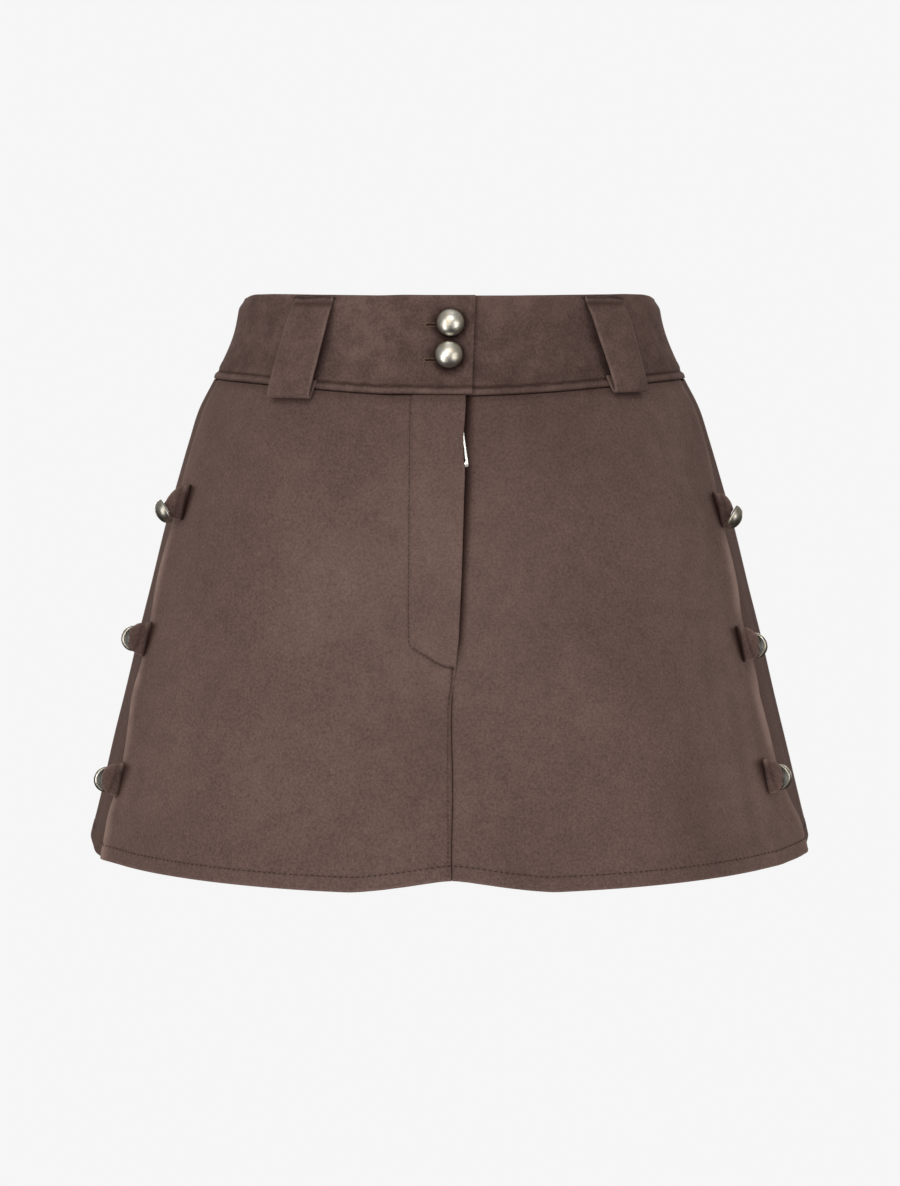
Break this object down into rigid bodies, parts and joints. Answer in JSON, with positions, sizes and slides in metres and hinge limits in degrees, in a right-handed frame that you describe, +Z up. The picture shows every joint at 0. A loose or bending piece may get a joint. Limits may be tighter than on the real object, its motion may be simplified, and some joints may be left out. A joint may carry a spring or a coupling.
{
  "type": "suede skort",
  "caption": "Short A-line suede skort with a wide waistband, dome buttons, belt loops, a fly zip, button tongues through slits down each side, and inner shorts.",
  "frame": {"origin": "middle of the waist opening, level with the waistband's top edge at the sides", "axes": "+Z up, -Y out of the front, +X to the right as seen from the front"},
  "size_m": [0.449, 0.3401, 0.3422],
  "materials": {
    "suede": "matt taupe-brown suede with a short soft nap",
    "shorts_cloth": "matt brown jersey",
    "antique_silver": "polished antique silver",
    "zip_nickel": "plated nickel",
    "zip_tape": "woven zip tape in brown"
  },
  "bodies": {
    "garment": {"waistband_front_l": "suede", "waistband_front_r": "suede", "waistband_back": "suede", "front_panel_l": "suede", "front_panel_r": "suede", "back_panel_l": "suede", "back_panel_r": "suede", "belt_loop_front_l": "suede", "belt_loop_front_r": "suede", "belt_loop_back_l": "suede", "belt_loop_back_r": "suede", "side_tab_l1": "suede", "side_tab_l2": "suede", "side_tab_l3": "suede", "side_tab_r1": "suede", "side_tab_r2": "suede", "side_tab_r3": "suede", "side_button_l1": "antique_silver", "side_button_l2": "antique_silver", "side_button_l3": "antique_silver", "side_button_r1": "antique_silver", "side_button_r2": "antique_silver", "side_button_r3": "antique_silver", "front_button_upper": "antique_silver", "front_button_lower": "antique_silver", "zip_chain": "zip_tape", "zip_slider": "zip_nickel", "shorts_l": "shorts_cloth", "shorts_r": "shorts_cloth"},
    "pull": {"zip_pull": "zip_nickel"}
  },
  "joints": [
    {"name": "pull_turn", "type": "hinge", "parent": "garment", "child": "pull", "pos_m": [0.00424, -0.11417, -0.076], "axis": [-0.9901, -0.061, -0.1264], "range_deg": [-1.5, 4]}
  ]
}
